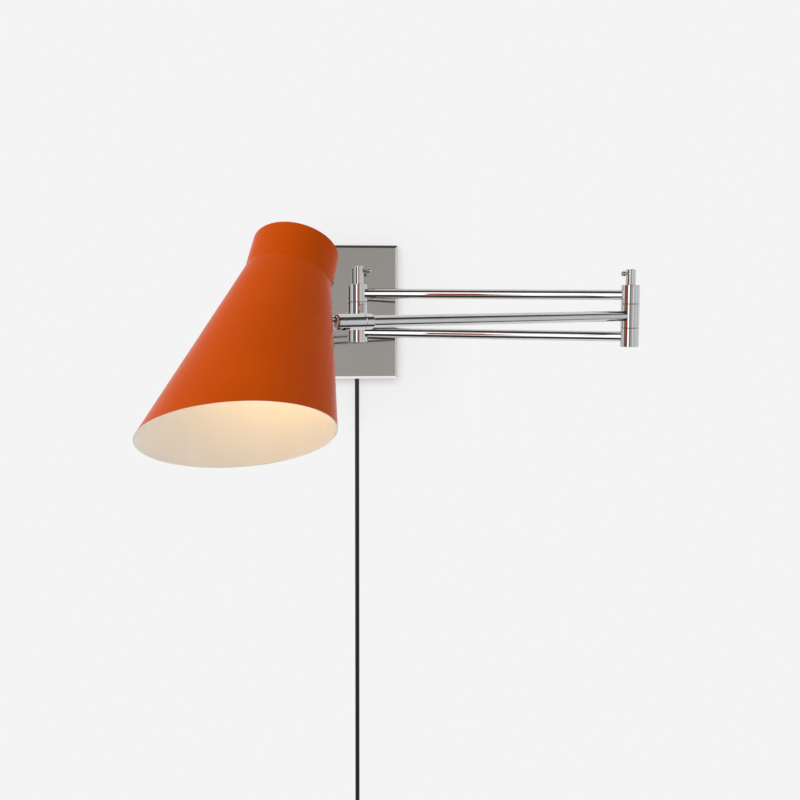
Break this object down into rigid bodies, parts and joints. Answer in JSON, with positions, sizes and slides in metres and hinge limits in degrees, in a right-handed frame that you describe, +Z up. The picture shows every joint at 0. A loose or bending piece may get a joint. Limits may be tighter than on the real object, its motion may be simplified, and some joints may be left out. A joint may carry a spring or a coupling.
{
  "type": "wall lamp",
  "caption": "Plug-in wall lamp on a folding double arm, with a tall bevelled backplate, clamped hinges, and a spun cone shade that swivels and tilts at the arm's end.",
  "frame": {"origin": "middle of the two wall box screws, on the wall surface behind the backplate", "axes": "+Z up, wall in the plane Y = 0, the lamp stands out toward -Y, +X along the wall toward the elbow at rest"},
  "size_m": [0.5789, 0.5844, 0.9382],
  "materials": {
    "nickel": "polished",
    "zinc_steel": "satin",
    "bolt_steel": "satin",
    "green_screw": "satin",
    "brass": "satin",
    "nylon": "matte",
    "orange_lacquer": "gloss",
    "phenolic": "satin",
    "black_knob": "gloss",
    "cap_metal": "satin",
    "opal_glass": "gloss",
    "cord_black": "satin",
    "lead_black": "satin",
    "lead_white": "satin",
    "connector": "satin",
    "tie": "matte"
  },
  "bodies": {
    "wall": {"wall_plate": "nickel", "mounting_bracket": "zinc_steel", "cover_screws": "nickel", "ground_screw": "green_screw", "hinge_post": "nickel", "threaded_nipple": "zinc_steel", "lock_nuts": "zinc_steel", "lock_washer": "zinc_steel", "wall_knuckle_middle": "nickel", "supply_lead": "lead_black", "wire_connectors": "connector", "cord_conductors": "lead_white", "cord_bushing": "cord_black", "cord": "cord_black", "cord_coil": "cord_black", "cord_tie": "tie", "cord_tail": "cord_black", "plug_body": "cord_black", "plug_blades": "brass"},
    "rear_arm": {"wall_knuckle_upper": "nickel", "wall_knuckle_lower": "nickel", "wall_washers": "nylon", "wall_hinge_bolt": "bolt_steel", "rear_tube_upper": "nickel", "rear_tube_lower": "nickel", "elbow_knuckle_upper": "nickel", "elbow_knuckle_lower": "nickel", "elbow_washers": "nylon", "elbow_hinge_bolt": "bolt_steel", "rear_lead": "lead_black"},
    "wall_clamp": {"wall_clamp_nut": "nickel", "wall_clamp_lever": "nickel"},
    "elbow_clamp": {"elbow_clamp_nut": "nickel", "elbow_clamp_lever": "nickel"},
    "front_arm": {"elbow_knuckle_middle": "nickel", "front_tube": "nickel", "end_collar": "nickel", "swivel_spindle": "bolt_steel", "spindle_nut": "brass", "front_lead": "lead_black"},
    "swivel": {"swivel_sleeve": "nickel", "swivel_fork": "nickel", "tilt_pin": "bolt_steel"},
    "shade_head": {"shade": "orange_lacquer", "shade_lug": "nickel", "lug_screws": "zinc_steel", "lampholder": "phenolic", "holder_nipple": "brass", "holder_nuts": "brass", "holder_contact": "brass", "bulb_cap": "cap_metal", "bulb_glass": "opal_glass", "switch_body": "phenolic", "shade_lead": "lead_black"},
    "knob": {"switch_knob": "black_knob"}
  },
  "joints": [
    {"name": "wall_hinge", "type": "hinge", "parent": "wall", "child": "rear_arm", "pos_m": [0, -0.046, 0], "axis": [0, 0, -1], "range_deg": [-23, 157]},
    {"name": "elbow_hinge", "type": "hinge", "parent": "rear_arm", "child": "front_arm", "pos_m": [0.32402, -0.18354, 0], "axis": [0, 0, -1], "range_deg": [-148, 37]},
    {"name": "wall_clamp_turn", "type": "hinge", "parent": "rear_arm", "child": "wall_clamp", "pos_m": [0, -0.046, 0.05], "axis": [0, 0, 1], "range_deg": [-90, 90]},
    {"name": "elbow_clamp_turn", "type": "hinge", "parent": "rear_arm", "child": "elbow_clamp", "pos_m": [0.32402, -0.18354, 0.05], "axis": [0, 0, 1], "range_deg": [-90, 90]},
    {"name": "shade_swivel", "type": "hinge", "parent": "front_arm", "child": "swivel", "pos_m": [-0.02583, -0.37746, 0], "axis": [-0.8746, -0.4848, 0], "range_deg": [-176, 124]},
    {"name": "shade_tilt", "type": "hinge", "parent": "swivel", "child": "shade_head", "pos_m": [-0.04332, -0.38716, 0], "axis": [0.4357, -0.7861, 0.4384], "range_deg": [-60, 90]},
    {"name": "switch_turn", "type": "hinge", "parent": "shade_head", "child": "knob", "pos_m": [-0.05623, -0.36531, 0.04128], "axis": [0.8197, 0.324, -0.4723], "continuous": true}
  ]
}
